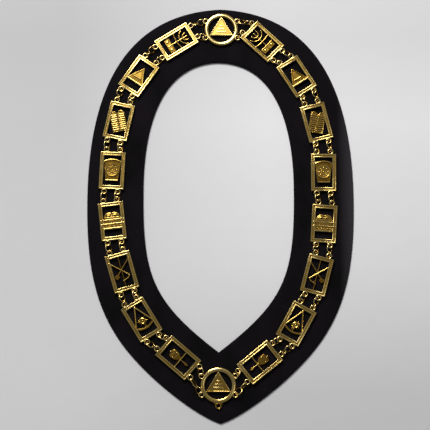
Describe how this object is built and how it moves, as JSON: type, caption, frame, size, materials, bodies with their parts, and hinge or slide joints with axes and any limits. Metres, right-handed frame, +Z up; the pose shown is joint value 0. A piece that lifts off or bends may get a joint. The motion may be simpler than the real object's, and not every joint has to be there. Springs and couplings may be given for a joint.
{
  "type": "chain of office collar",
  "caption": "Black velvet officer's collar with a gold-plated chain of openwork plaques and round medallions, worn around the neck over the shoulders.",
  "frame": {"origin": "on the resting surface, under the middle of the collar's box", "axes": "+Y along the collar towards the back of the neck, -Y towards its point, +X to its right as seen from above, +Z up from the resting surface"},
  "size_m": [0.294, 0.4634, 0.0082],
  "materials": {
    "velvet": "black velvet pile with a soft sheen at the edges",
    "gold": "polished gold plate with darker recesses"
  },
  "bodies": {
    "root": {"left_ark_plaque": "gold", "left_compasses_plaque": "gold", "left_delta_plaque": "gold", "left_inner_link_1": "gold", "left_inner_link_2": "gold", "left_inner_link_3": "gold", "left_inner_link_4": "gold", "left_inner_link_5": "gold", "left_inner_link_6": "gold", "left_inner_link_7": "gold", "left_inner_link_8": "gold", "left_inner_link_9": "gold", "left_keystone_plaque": "gold", "left_menorah_plaque": "gold", "left_outer_link_1": "gold", "left_outer_link_2": "gold", "left_outer_link_3": "gold", "left_outer_link_4": "gold", "left_outer_link_5": "gold", "left_outer_link_6": "gold", "left_outer_link_7": "gold", "left_outer_link_8": "gold", "left_outer_link_9": "gold", "left_pot_plaque": "gold", "left_tablets_plaque": "gold", "left_tools_plaque": "gold", "medallion_bottom": "gold", "medallion_top": "gold", "right_ark_plaque": "gold", "right_compasses_plaque": "gold", "right_delta_plaque": "gold", "right_inner_link_1": "gold", "right_inner_link_2": "gold", "right_inner_link_3": "gold", "right_inner_link_4": "gold", "right_inner_link_5": "gold", "right_inner_link_6": "gold", "right_inner_link_7": "gold", "right_inner_link_8": "gold", "right_inner_link_9": "gold", "right_keystone_plaque": "gold", "right_menorah_plaque": "gold", "right_outer_link_1": "gold", "right_outer_link_2": "gold", "right_outer_link_3": "gold", "right_outer_link_4": "gold", "right_outer_link_5": "gold", "right_outer_link_6": "gold", "right_outer_link_7": "gold", "right_outer_link_8": "gold", "right_outer_link_9": "gold", "right_pot_plaque": "gold", "right_tablets_plaque": "gold", "right_tools_plaque": "gold", "velvet_collar": "velvet"}
  },
  "joints": []
}
